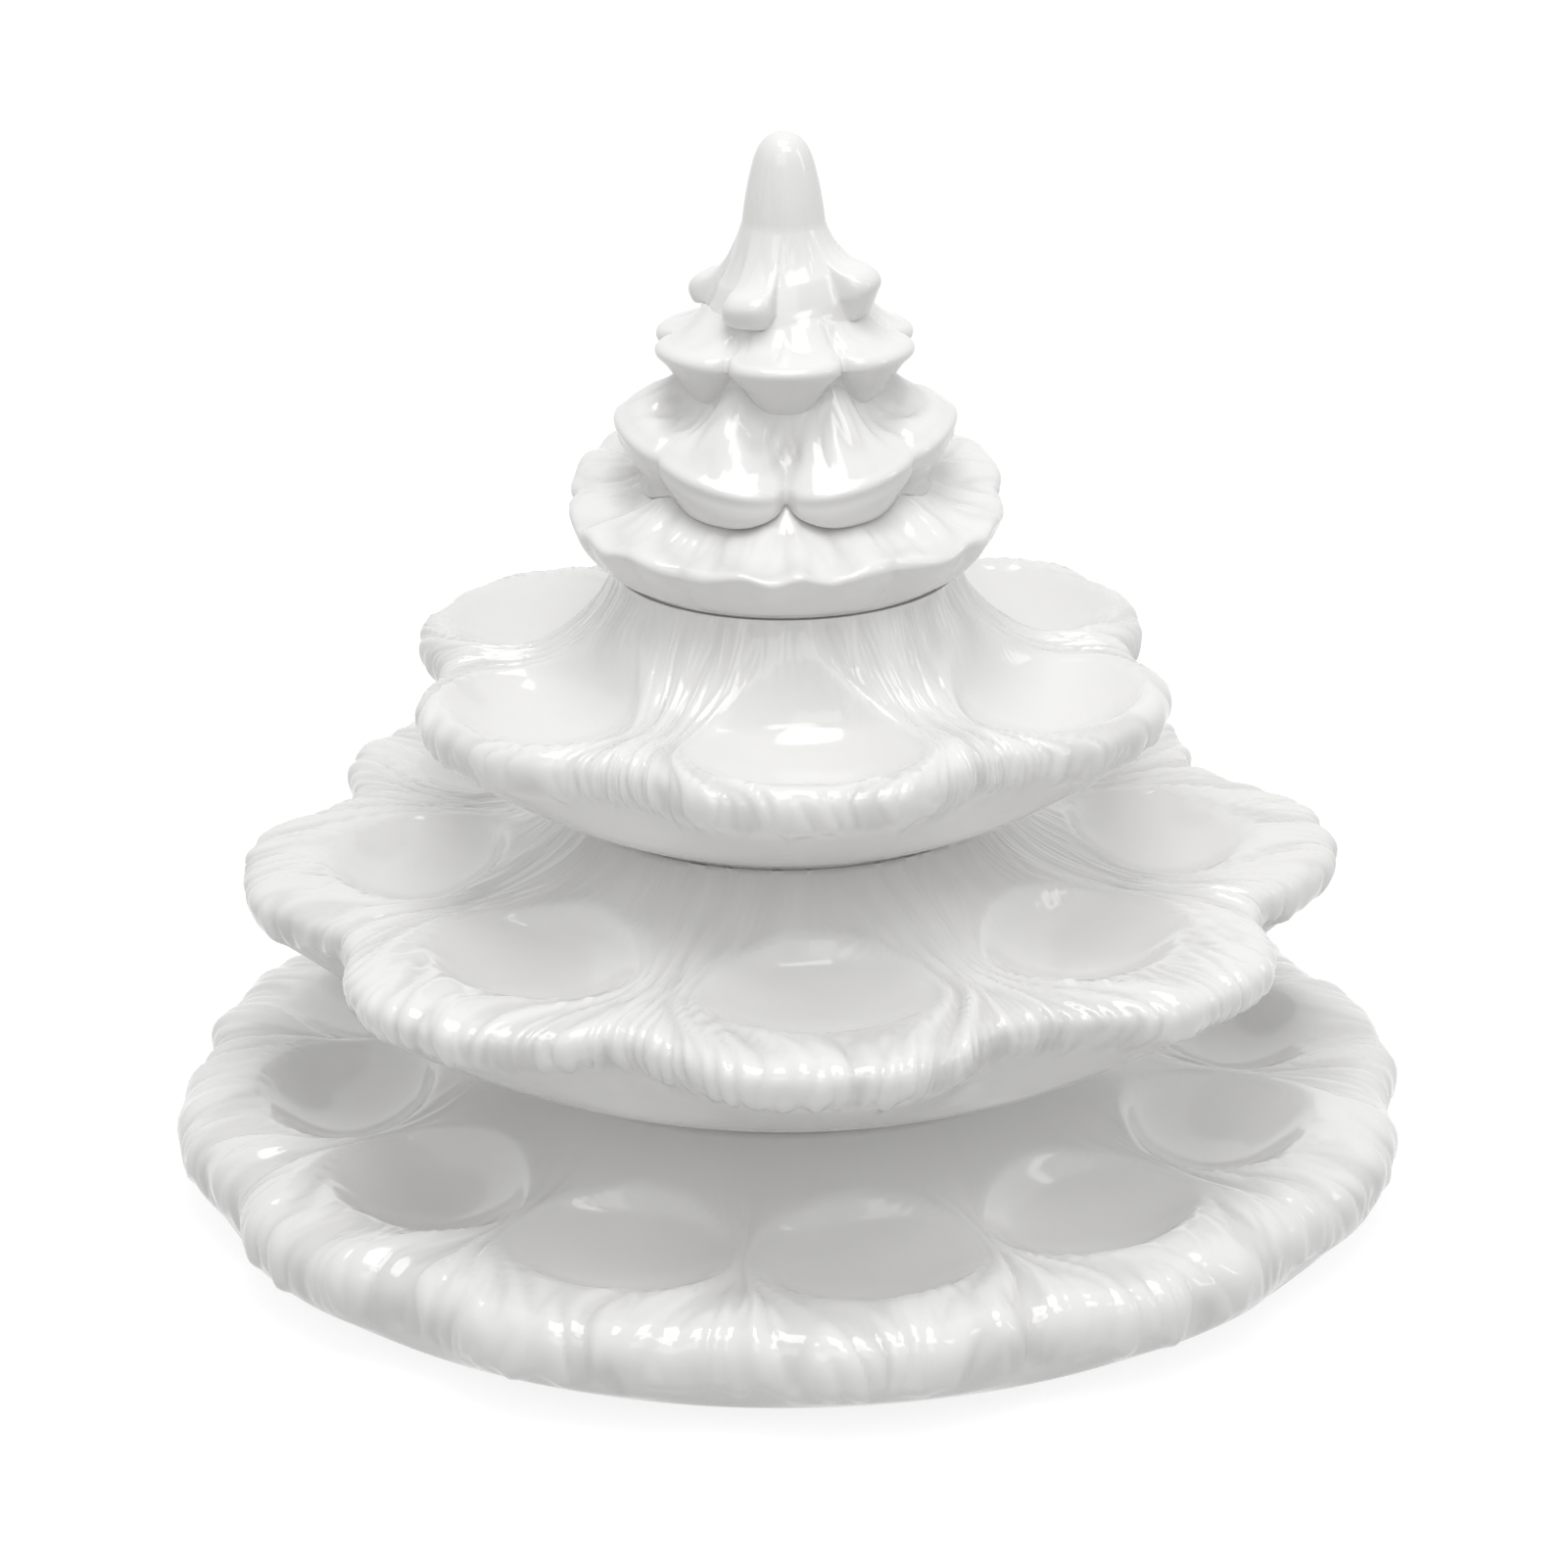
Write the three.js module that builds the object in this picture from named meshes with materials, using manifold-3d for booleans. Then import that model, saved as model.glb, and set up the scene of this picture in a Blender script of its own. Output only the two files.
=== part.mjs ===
// Tiered serving tray: a stacking tree of glazed ceramic with a ring of wells on each tier.
// Millimetres, +Z up, the front towards -Y. The origin is the middle of the base tier's foot.
import * as THREE from "three";
import { mergeVertices } from "three/addons/utils/BufferGeometryUtils.js";
import Module from "manifold-3d";

// Ceramic walls and the fit between stacked pieces
const WALL = 5;
const FOOT_WALL = 6;
const SEAT_GAP = 0.3;
const SPIGOT_CLEARANCE = 0.8;
const SPIGOT_HEIGHT = 6;
const SPIGOT_BEVEL = 1.2;

// Wells, alike on every tier: a round bowl with a steeper wall outside its edge
const WELL_LENGTH = 57;
const WELL_WIDTH = 43;
const WELL_DEPTH = 8;
const WELL_LIP = 4;
const WELL_WALL_RISE = 160;
const WELL_ROUNDNESS = 2.5;
const CREST_RISE = 2;

// Base tier, heights above its own foot. Shares are parts of the way from the foot out to the rim.
const BASE_HEIGHT = 46;
const BASE_FOOT_RADIUS = 145;
const BASE_RIM_RADIUS = 169;
const BASE_RIM_LEVEL = 20;
const BASE_RIM_ROLL = 19;
const BASE_TUCK_SHARE = 0.54;
const BASE_TUCK_LEVEL = 6.5;
const BASE_BELLY_SHARE = 0.33;
const BASE_BELLY_LEVEL = 2;
const BASE_WELL_LEVEL = 29;
const BASE_WELL_RING = 124;
const BASE_WELL_COUNT = 12;
const BASE_LOBE_DEPTH = 4.5;
const BASE_SWEEP = 16;
const BASE_TURN = 9;

// Middle tier
const MIDDLE_HEIGHT = 64;
const MIDDLE_FOOT_RADIUS = 84;
const MIDDLE_RIM_RADIUS = 148.5;
const MIDDLE_RIM_LEVEL = 43;
const MIDDLE_RIM_ROLL = 14.5;
const MIDDLE_TUCK_SHARE = 0.884;
const MIDDLE_TUCK_LEVEL = 36.5;
const MIDDLE_BELLY_SHARE = 0.434;
const MIDDLE_BELLY_LEVEL = 12;
const MIDDLE_WELL_LEVEL = 46.7;
const MIDDLE_WELL_RING = 102;
const MIDDLE_WELL_COUNT = 8;
const MIDDLE_LOBE_DEPTH = 11;
const MIDDLE_SWEEP = 17;
const MIDDLE_TURN = 4;

// Upper tier
const UPPER_HEIGHT = 64;
const UPPER_FOOT_RADIUS = 60;
const UPPER_RIM_RADIUS = 106;
const UPPER_RIM_LEVEL = 34;
const UPPER_RIM_ROLL = 13;
const UPPER_TUCK_SHARE = 0.87;
const UPPER_TUCK_LEVEL = 27.5;
const UPPER_BELLY_SHARE = 0.435;
const UPPER_BELLY_LEVEL = 9;
const UPPER_WELL_LEVEL = 38.5;
const UPPER_WELL_RING = 77.5;
const UPPER_WELL_COUNT = 6;
const UPPER_LOBE_DEPTH = 10;
const UPPER_SWEEP = 9;
const UPPER_TURN = 3;

// Tree topper: the skirt, the low and high rows of boughs, the crown row and the spire
const TOPPER_HEIGHT = 117.5;
const TOPPER_FOOT_RADIUS = 46;
const BOUGH_COUNT = 6;
const SKIRT_RADIUS = 59.4;
const SKIRT_LEVEL = 17.5;
const SKIRT_LIP = 1.5;
const SKIRT_CLEFT = 3.5;
const SKIRT_BACK_LIFT = 11;
const LOW_COUNT = 7;
const LOW_WAIST_RADIUS = 37.5;
const LOW_WAIST_LEVEL = 25.5;
const LOW_WAIST_DIP = 1.5;
const LOW_RADIUS = 45.8;
const LOW_LEVEL = 31.5;
const LOW_LIP = 1.9;
const LOW_CLEFT = 10;
const LOW_SIDE_LIFT = 10.5;
const LOW_SIDE_DRAW = 6;
const HIGH_WAIST_RADIUS = 26;
const HIGH_WAIST_LEVEL = 52.5;
const HIGH_WAIST_DIP = 3.5;
const HIGH_RADIUS = 36.2;
const HIGH_LEVEL = 62.4;
const HIGH_LIP = 1.8;
const HIGH_CLEFT = 7.5;
const CROWN_WAIST_RADIUS = 21.8;
const CROWN_WAIST_LEVEL = 71.8;
const CROWN_WAIST_DIP = 1.5;
const CROWN_RADIUS = 27.5;
const CROWN_LEVEL = 77.8;
const CROWN_LIP = 3.2;
const CROWN_CLEFT = 6;
const CROWN_TILT = 3;
const CROWN_COUNT = 4;
const CROWN_TURN = -26;
const SPIRE_FOOT_RADIUS = 10.9;
const SPIRE_FOOT_LEVEL = 94;
const SPIRE_BEND_RADIUS = 10;
const SPIRE_BEND_LEVEL = 103;
const SPIRE_TIP_RADIUS = 8.4;
const SPIRE_TIP_ROUND = 7.3;

// Shape of every bough's lip, in lips from its tip, and of the floor of a cleft, as a part of its way
const EDGE_INSET = 0.4;
const LIP_REACH = 0.4;
const LIP_RISE = 0.2;
const BROW_INSET = 1.3;
const BROW_RISE = 0.9;
const CLEFT_HOLLOW = [0.6, 0.35];
const CLEFT_SHARPNESS = 4;
const BOUGH_ROUNDNESS = 2.4;
const BACK_SHARPNESS = 1.5;

// Facets round each piece, and steps along the curves of a section
const BASE_FACETS_PER_WELL = 8;
const MIDDLE_FACETS_PER_WELL = 10;
const UPPER_FACETS_PER_WELL = 10;
const TOPPER_FACETS = 48;
const CORE_FACETS = 30;
const UNDERSIDE_STEPS = 2;
const ROLL_STEPS = 3;
const SWEEP_STEPS = 8;
const CORE_STEPS = 4;
const BOUGH_STEPS = 3;
const LIP_STEPS = 2;

const kernel = await Module();
kernel.setup();

const glaze = new THREE.MeshStandardMaterial({ color: 0xf2f1ee, roughness: 0.12, metalness: 0 });

function point(radius, height) {
  return new THREE.Vector2(radius, height);
}

function bend(start, control, end) {
  return new THREE.QuadraticBezierCurve(start, control, end);
}

// A three.js geometry as a solid for joining and cutting
function solidOf(geometry) {
  const bare = new THREE.BufferGeometry();
  bare.setAttribute("position", geometry.getAttribute("position"));
  bare.setIndex(geometry.index);
  const merged = mergeVertices(bare);
  const mesh = new kernel.Mesh({
    numProp: 3,
    vertProperties: merged.getAttribute("position").array,
    triVerts: new Uint32Array(merged.index.array),
  });
  return new kernel.Manifold(mesh);
}

function geometryOf(solid) {
  const mesh = solid.getMesh();
  const geometry = new THREE.BufferGeometry();
  geometry.setAttribute("position", new THREE.BufferAttribute(mesh.vertProperties, 3));
  geometry.setIndex(new THREE.BufferAttribute(mesh.triVerts, 1));
  geometry.computeVertexNormals();
  return geometry;
}

// Stations of a section that follow one shape rule, a function of the place and its turn
function stations(places, rule) {
  return places.map((place) => ({ place, rule }));
}

function keep(place) {
  return place;
}

// A section, from its foot up to its top, turned about the upright axis.
// Each place follows its rule, and a piece's own turns are measured from its start turn.
function shapedLathe(section, facets, startTurn) {
  const places = section.map((station) => station.place);
  const geometry = new THREE.LatheGeometry(places, facets);
  const position = geometry.getAttribute("position");
  for (let facet = 0; facet <= facets; facet += 1) {
    const turn = (2 * Math.PI * (facet % facets)) / facets;
    const around = startTurn + turn;
    section.forEach((station, index) => {
      const moved = station.rule(station.place, turn);
      const vertex = facet * section.length + index;
      position.setXYZ(vertex, moved.x * Math.sin(around), -moved.x * Math.cos(around), moved.y);
    });
  }
  return geometry;
}

// The radius of a lobed place: full in the middle of a lobe, drawn in softly between two.
// The lobes die out towards the plain radius.
function lobedRadius(place, turn, tier, plainRadius) {
  const reach = THREE.MathUtils.smoothstep(place.x, plainRadius, tier.rimRadius);
  const fullness = (1 + Math.cos(tier.wellCount * turn)) / 2;
  return place.x - tier.lobeDepth * reach * (1 - fullness);
}

// The lower of two heights, with a soft change from one to the other
function softLower(first, second, softness) {
  const blend = Math.max(softness - Math.abs(first - second), 0) / softness;
  return Math.min(first, second) - (blend * blend * softness) / 4;
}

// A turn measured from the middle of the nearest of a number of repeats
function turnFromNearest(turn, count) {
  const pitch = (2 * Math.PI) / count;
  return turn - pitch * Math.round(turn / pitch);
}

// The height of the nearest well's bowl at a place on a tier
function wellHeight(radius, turn, tier) {
  const offTurn = turnFromNearest(turn, tier.wellCount);
  const along = (radius * Math.sin(offTurn)) / (WELL_LENGTH / 2);
  const across = (radius * Math.cos(offTurn) - tier.wellRing) / (WELL_WIDTH / 2);
  const distance = Math.hypot(along, across);
  const bowl = tier.wellLevel - WELL_DEPTH * (1 - distance ** WELL_ROUNDNESS);
  return bowl + WELL_WALL_RISE * Math.max(distance - 1, 0) ** 2;
}

// The curves of a tier's outside, from its foot up to its seat
function tierCurves(tier) {
  const foot = point(tier.footRadius, 0);
  const tuck = point(tier.tuckRadius, tier.tuckLevel);
  const rim = point(tier.rimRadius, tier.rimLevel);
  const crest = point(tier.rimRadius - tier.rimRoll, tier.wellLevel + CREST_RISE);
  const seatEdge = point(tier.seatRadius, tier.height);
  const sweepControl = point(tier.seatRadius + tier.sweep, tier.wellLevel - CREST_RISE);
  return {
    belly: bend(foot, point(tier.bellyRadius, tier.bellyLevel), tuck),
    tuckUnder: bend(tuck, point(tier.rimRadius, tier.tuckLevel), rim),
    roll: bend(rim, point(tier.rimRadius, crest.y), crest),
    sweep: bend(crest, sweepControl, seatEdge),
  };
}

// The outside of a tier, closed across the foot
function tierBody(tier) {
  const curves = tierCurves(tier);
  const lobed = (place, turn) => point(lobedRadius(place, turn, tier, tier.bellyRadius), place.y);
  const dished = (place, turn) => {
    const radius = lobedRadius(place, turn, tier, tier.seatRadius);
    return point(radius, softLower(place.y, wellHeight(radius, turn, tier), WELL_LIP));
  };
  const underside = [
    point(0, 0),
    ...curves.belly.getPoints(UNDERSIDE_STEPS),
    ...curves.tuckUnder.getPoints(UNDERSIDE_STEPS).slice(1),
  ];
  const topside = [
    ...curves.roll.getPoints(ROLL_STEPS).slice(1),
    ...curves.sweep.getPoints(SWEEP_STEPS).slice(1, -1),
  ];
  const top = tier.height + SPIGOT_HEIGHT;
  const seat = [
    point(tier.seatRadius, tier.height),
    point(tier.spigotRadius, tier.height),
    point(tier.spigotRadius, top - SPIGOT_BEVEL),
    point(tier.spigotRadius - SPIGOT_BEVEL, top),
    point(0, top),
  ];
  const section = [
    ...stations(underside, lobed),
    ...stations(topside, dished),
    ...stations(seat, keep),
  ];
  const startTurn = THREE.MathUtils.degToRad(tier.turn);
  return shapedLathe(section, tier.wellCount * tier.facetsPerWell, startTurn);
}

// Points one wall inside an outside curve
function insetPoints(curve) {
  return Array.from({ length: CORE_STEPS }, (_, step) => {
    const share = (step + 0.5) / CORE_STEPS;
    const place = curve.getPoint(share);
    const tangent = curve.getTangent(share);
    return point(place.x - tangent.y * WALL, place.y + tangent.x * WALL);
  });
}

// The hollow of a tier, open through its foot and clear of its wells and notches
function tierCore(tier) {
  const curves = tierCurves(tier);
  const footInside = tier.footRadius - FOOT_WALL;
  const spigotInside = tier.spigotRadius - WALL;
  const moundInside = tier.wellRing - WELL_WIDTH / 2 - WALL;
  const ceiling = tier.wellLevel - WELL_DEPTH - WALL;
  const spigotCeiling = tier.height + SPIGOT_HEIGHT - WALL;
  const notchReach = (radius) =>
    tier.lobeDepth * THREE.MathUtils.smoothstep(radius, tier.bellyRadius, tier.rimRadius);
  const floor = insetPoints(curves.belly)
    .map((place) => point(place.x - notchReach(place.x), place.y))
    .filter((place) => place.x > footInside && place.y < ceiling);
  const dome = insetPoints(curves.sweep)
    .filter((place) => place.x < moundInside && place.x > spigotInside);
  const section = [
    point(0, -WALL),
    point(footInside, -WALL),
    point(footInside, floor[0].y),
    ...floor,
    point(floor[floor.length - 1].x, ceiling),
    point(moundInside, ceiling),
    ...dome,
    point(spigotInside, tier.height - WALL),
    point(spigotInside, spigotCeiling),
    point(0, spigotCeiling),
  ];
  return shapedLathe(stations(section, keep), CORE_FACETS, 0);
}

function tierGeometry(tier) {
  return geometryOf(solidOf(tierBody(tier)).subtract(solidOf(tierCore(tier))));
}

// A place part of the way from one place to another, with its own share of the radius and of the height
function partWay(start, end, shares) {
  const radius = THREE.MathUtils.lerp(start.x, end.x, shares[0]);
  const height = THREE.MathUtils.lerp(start.y, end.y, shares[1]);
  return point(radius, height);
}

// How full a row of boughs is: 1 in the middle of a bough and least in its clefts.
// The clefts at the front and back are deepest, and a row says how deep those at the sides are.
function boughFullness(turn, row, width) {
  const offTurn = turnFromNearest(turn - THREE.MathUtils.degToRad(row.turn), row.count);
  const share = Math.min((Math.abs(offTurn) * row.count) / Math.PI / width, 1);
  const depth = THREE.MathUtils.lerp(row.sideCleft, 1, Math.cos(turn) ** CLEFT_SHARPNESS);
  return 1 - depth * (1 - (1 - share ** BOUGH_ROUNDNESS) ** (1 / BOUGH_ROUNDNESS));
}

// How far the waist under a row hangs down: most under the middle of each bough
function waistDip(turn, row) {
  return row.waistDip * Math.cos(row.count * (turn - THREE.MathUtils.degToRad(row.turn)));
}

// How far a row's tips are raised towards one side, the back or both sides
function tipLift(turn, row) {
  const backward = ((1 - Math.cos(turn)) / 2) ** BACK_SHARPNESS;
  const sideward = Math.sin(turn) ** 2;
  return row.tilt * Math.sin(turn) + row.backLift * backward + row.sideLift * sideward;
}

// One station of a row of boughs, between the middle of a bough and the floor of its clefts.
// It hangs with the row's own waist and with the waist above it by the two given shares.
function boughStation(full, cleft, width, row, above, ownHang, aboveHang) {
  const rule = (place, turn) => {
    const moved = cleft.clone().lerp(place, boughFullness(turn, row, width));
    const underneath = 4 * ownHang * (1 - ownHang);
    moved.x -= row.sideDraw * underneath * Math.sin(turn) ** 2;
    moved.y += (1 - ownHang - aboveHang) * tipLift(turn, row);
    moved.y -= ownHang * waistDip(turn, row) + aboveHang * waistDip(turn, above);
    return moved;
  };
  return { place: full, rule };
}

// A row of boughs: its underside, its lip and its upper face, up to the waist above it
function boughStations(row, above) {
  const edge = point(row.tip.x - EDGE_INSET * row.lip, row.tip.y - row.lip);
  const reach = point(row.tip.x + LIP_REACH * row.lip, row.tip.y + LIP_RISE * row.lip);
  const brow = point(row.tip.x - BROW_INSET * row.lip, row.tip.y + BROW_RISE * row.lip);
  const cleftEdge = point(edge.x - row.cleft, edge.y);
  const cleftBrow = point(brow.x - row.cleft, brow.y);
  const under = bend(row.waist, partWay(row.waist, edge, row.bulge), edge);
  const cleftUnder = new THREE.LineCurve(row.waist, cleftEdge);
  const lip = bend(edge, reach, brow);
  const cleftLip = new THREE.LineCurve(cleftEdge, cleftBrow);
  const face = bend(brow, partWay(brow, above.waist, row.hollow), above.waist);
  const cleftFace = bend(cleftBrow, partWay(cleftBrow, above.waist, CLEFT_HOLLOW), above.waist);
  const [waistWidth, tipWidth, topWidth] = row.widths;

  const section = [];
  for (let step = 1; step <= BOUGH_STEPS; step += 1) {
    const share = step / BOUGH_STEPS;
    const width = THREE.MathUtils.lerp(waistWidth, tipWidth, share);
    const hang = 1 - THREE.MathUtils.smoothstep(share, 0, 1);
    section.push(boughStation(under.getPoint(share), cleftUnder.getPoint(share), width, row, above, hang, 0));
  }
  for (let step = 1; step <= LIP_STEPS; step += 1) {
    const share = step / LIP_STEPS;
    section.push(boughStation(lip.getPoint(share), cleftLip.getPoint(share), tipWidth, row, above, 0, 0));
  }
  for (let step = 1; step <= BOUGH_STEPS; step += 1) {
    const share = step / BOUGH_STEPS;
    const width = THREE.MathUtils.lerp(tipWidth, topWidth, share);
    const hang = THREE.MathUtils.smoothstep(share, 0, 1);
    section.push(boughStation(face.getPoint(share), cleftFace.getPoint(share), width, row, above, 0, hang));
  }
  return section;
}

const spireFoot = { waist: point(SPIRE_FOOT_RADIUS, SPIRE_FOOT_LEVEL), waistDip: 0, count: 1, turn: 0 };

const crownRow = {
  count: CROWN_COUNT,
  turn: CROWN_TURN,
  waist: point(CROWN_WAIST_RADIUS, CROWN_WAIST_LEVEL),
  waistDip: CROWN_WAIST_DIP,
  tip: point(CROWN_RADIUS, CROWN_LEVEL),
  lip: CROWN_LIP,
  cleft: CROWN_CLEFT,
  sideCleft: 1,
  bulge: [0.75, -0.1],
  hollow: [0.65, 0.05],
  widths: [0.3, 0.42, 0.5],
  tilt: CROWN_TILT,
  backLift: 0,
  sideLift: 0,
  sideDraw: 0,
};

const highRow = {
  count: BOUGH_COUNT,
  turn: 0,
  waist: point(HIGH_WAIST_RADIUS, HIGH_WAIST_LEVEL),
  waistDip: HIGH_WAIST_DIP,
  tip: point(HIGH_RADIUS, HIGH_LEVEL),
  lip: HIGH_LIP,
  cleft: HIGH_CLEFT,
  sideCleft: 1,
  bulge: [0.32, 0.25],
  hollow: [0.6, 0.25],
  widths: [0.5, 1, 0.8],
  tilt: 0,
  backLift: 0,
  sideLift: 0,
  sideDraw: 0,
};

const lowRow = {
  count: LOW_COUNT,
  turn: 180 / LOW_COUNT,
  waist: point(LOW_WAIST_RADIUS, LOW_WAIST_LEVEL),
  waistDip: LOW_WAIST_DIP,
  tip: point(LOW_RADIUS, LOW_LEVEL),
  lip: LOW_LIP,
  cleft: LOW_CLEFT,
  sideCleft: 0.4,
  bulge: [1.33, -1.4],
  hollow: [0.53, 0.45],
  widths: [0.9, 1, 0.55],
  tilt: 0,
  backLift: 0,
  sideLift: LOW_SIDE_LIFT,
  sideDraw: LOW_SIDE_DRAW,
};

const skirtRow = {
  count: BOUGH_COUNT,
  turn: 0,
  waist: point(TOPPER_FOOT_RADIUS, 0),
  waistDip: 0,
  tip: point(SKIRT_RADIUS, SKIRT_LEVEL),
  lip: SKIRT_LIP,
  cleft: SKIRT_CLEFT,
  sideCleft: 1,
  bulge: [0.8, 0.44],
  hollow: [0.51, 0.35],
  widths: [1, 1, 1],
  tilt: 0,
  backLift: SKIRT_BACK_LIFT,
  sideLift: 0,
  sideDraw: 0,
};

// The outside of the topper: the skirt, three rows of boughs and the spire
function topperBody() {
  const spireTip = point(SPIRE_TIP_RADIUS, TOPPER_HEIGHT - SPIRE_TIP_ROUND);
  const spireBend = point(SPIRE_BEND_RADIUS, SPIRE_BEND_LEVEL);
  const spire = bend(spireFoot.waist, spireBend, spireTip);
  const onward = 1 + SPIRE_TIP_ROUND / (spireTip.y - spireBend.y);
  const domeControl = spireBend.clone().lerp(spireTip, onward);
  const dome = bend(spireTip, domeControl, point(0, TOPPER_HEIGHT));
  const section = [
    ...stations([point(0, 0), skirtRow.waist], keep),
    ...boughStations(skirtRow, lowRow),
    ...boughStations(lowRow, highRow),
    ...boughStations(highRow, crownRow),
    ...boughStations(crownRow, spireFoot),
    ...stations(spire.getPoints(ROLL_STEPS).slice(1), keep),
    ...stations(dome.getPoints(ROLL_STEPS).slice(1), keep),
  ];
  return shapedLathe(section, TOPPER_FACETS, 0);
}

// The hollow of the topper, one wall inside its waists and the low clefts
function topperCore() {
  const footInside = TOPPER_FOOT_RADIUS - FOOT_WALL;
  const waistInside = (row) => point(row.waist.x - WALL, row.waist.y);
  const section = [
    point(0, -WALL),
    point(footInside, -WALL),
    point(footInside, SPIGOT_HEIGHT + WALL),
    point(LOW_RADIUS - LOW_CLEFT - WALL, LOW_LEVEL),
    waistInside(highRow),
    waistInside(crownRow),
    point(0, CROWN_LEVEL + WALL),
  ];
  return shapedLathe(stations(section, keep), CORE_FACETS, 0);
}

function topperGeometry() {
  return geometryOf(solidOf(topperBody()).subtract(solidOf(topperCore())));
}

// The spigot that enters the next piece's foot
function spigotFor(footRadius) {
  return footRadius - FOOT_WALL - SPIGOT_CLEARANCE;
}

const baseTier = {
  height: BASE_HEIGHT,
  footRadius: BASE_FOOT_RADIUS,
  seatRadius: MIDDLE_FOOT_RADIUS,
  spigotRadius: spigotFor(MIDDLE_FOOT_RADIUS),
  rimRadius: BASE_RIM_RADIUS,
  rimLevel: BASE_RIM_LEVEL,
  rimRoll: BASE_RIM_ROLL,
  tuckRadius: THREE.MathUtils.lerp(BASE_FOOT_RADIUS, BASE_RIM_RADIUS, BASE_TUCK_SHARE),
  tuckLevel: BASE_TUCK_LEVEL,
  bellyRadius: THREE.MathUtils.lerp(BASE_FOOT_RADIUS, BASE_RIM_RADIUS, BASE_BELLY_SHARE),
  bellyLevel: BASE_BELLY_LEVEL,
  wellLevel: BASE_WELL_LEVEL,
  wellRing: BASE_WELL_RING,
  wellCount: BASE_WELL_COUNT,
  lobeDepth: BASE_LOBE_DEPTH,
  sweep: BASE_SWEEP,
  turn: BASE_TURN,
  facetsPerWell: BASE_FACETS_PER_WELL,
};

const middleTier = {
  height: MIDDLE_HEIGHT,
  footRadius: MIDDLE_FOOT_RADIUS,
  seatRadius: UPPER_FOOT_RADIUS,
  spigotRadius: spigotFor(UPPER_FOOT_RADIUS),
  rimRadius: MIDDLE_RIM_RADIUS,
  rimLevel: MIDDLE_RIM_LEVEL,
  rimRoll: MIDDLE_RIM_ROLL,
  tuckRadius: THREE.MathUtils.lerp(MIDDLE_FOOT_RADIUS, MIDDLE_RIM_RADIUS, MIDDLE_TUCK_SHARE),
  tuckLevel: MIDDLE_TUCK_LEVEL,
  bellyRadius: THREE.MathUtils.lerp(MIDDLE_FOOT_RADIUS, MIDDLE_RIM_RADIUS, MIDDLE_BELLY_SHARE),
  bellyLevel: MIDDLE_BELLY_LEVEL,
  wellLevel: MIDDLE_WELL_LEVEL,
  wellRing: MIDDLE_WELL_RING,
  wellCount: MIDDLE_WELL_COUNT,
  lobeDepth: MIDDLE_LOBE_DEPTH,
  sweep: MIDDLE_SWEEP,
  turn: MIDDLE_TURN,
  facetsPerWell: MIDDLE_FACETS_PER_WELL,
};

const upperTier = {
  height: UPPER_HEIGHT,
  footRadius: UPPER_FOOT_RADIUS,
  seatRadius: TOPPER_FOOT_RADIUS,
  spigotRadius: spigotFor(TOPPER_FOOT_RADIUS),
  rimRadius: UPPER_RIM_RADIUS,
  rimLevel: UPPER_RIM_LEVEL,
  rimRoll: UPPER_RIM_ROLL,
  tuckRadius: THREE.MathUtils.lerp(UPPER_FOOT_RADIUS, UPPER_RIM_RADIUS, UPPER_TUCK_SHARE),
  tuckLevel: UPPER_TUCK_LEVEL,
  bellyRadius: THREE.MathUtils.lerp(UPPER_FOOT_RADIUS, UPPER_RIM_RADIUS, UPPER_BELLY_SHARE),
  bellyLevel: UPPER_BELLY_LEVEL,
  wellLevel: UPPER_WELL_LEVEL,
  wellRing: UPPER_WELL_RING,
  wellCount: UPPER_WELL_COUNT,
  lobeDepth: UPPER_LOBE_DEPTH,
  sweep: UPPER_SWEEP,
  turn: UPPER_TURN,
  facetsPerWell: UPPER_FACETS_PER_WELL,
};

const root = new THREE.Group();

function addPiece(name, geometry, footLevel) {
  const mesh = new THREE.Mesh(geometry, glaze);
  mesh.name = name;
  mesh.position.z = footLevel;
  root.add(mesh);
}

// The stack, each foot one gap above the seat that carries it
const middleFoot = BASE_HEIGHT + SEAT_GAP;
const upperFoot = middleFoot + MIDDLE_HEIGHT + SEAT_GAP;
const topperFoot = upperFoot + UPPER_HEIGHT + SEAT_GAP;
addPiece("base_tier", tierGeometry(baseTier), 0);
addPiece("middle_tier", tierGeometry(middleTier), middleFoot);
addPiece("upper_tier", tierGeometry(upperTier), upperFoot);
addPiece("tree_topper", topperGeometry(), topperFoot);

export default root;
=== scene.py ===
import math

import bpy
import numpy as np
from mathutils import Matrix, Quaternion, Vector


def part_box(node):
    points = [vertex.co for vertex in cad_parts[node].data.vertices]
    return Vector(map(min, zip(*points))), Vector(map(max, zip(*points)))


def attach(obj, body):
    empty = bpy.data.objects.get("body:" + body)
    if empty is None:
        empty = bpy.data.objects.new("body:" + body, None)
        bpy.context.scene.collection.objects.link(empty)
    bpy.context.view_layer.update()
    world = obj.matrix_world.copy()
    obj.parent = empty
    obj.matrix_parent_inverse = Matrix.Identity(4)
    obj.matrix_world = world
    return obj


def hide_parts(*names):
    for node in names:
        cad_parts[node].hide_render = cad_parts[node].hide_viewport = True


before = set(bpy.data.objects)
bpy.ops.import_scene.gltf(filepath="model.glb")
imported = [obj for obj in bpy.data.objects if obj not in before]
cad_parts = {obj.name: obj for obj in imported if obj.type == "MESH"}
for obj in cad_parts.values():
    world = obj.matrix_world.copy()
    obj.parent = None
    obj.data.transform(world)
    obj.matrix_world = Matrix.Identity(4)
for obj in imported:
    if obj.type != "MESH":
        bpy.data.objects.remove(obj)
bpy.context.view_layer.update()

# Sections are drawn in millimetres and degrees, and meshes are made in metres
MM = 0.001

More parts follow.
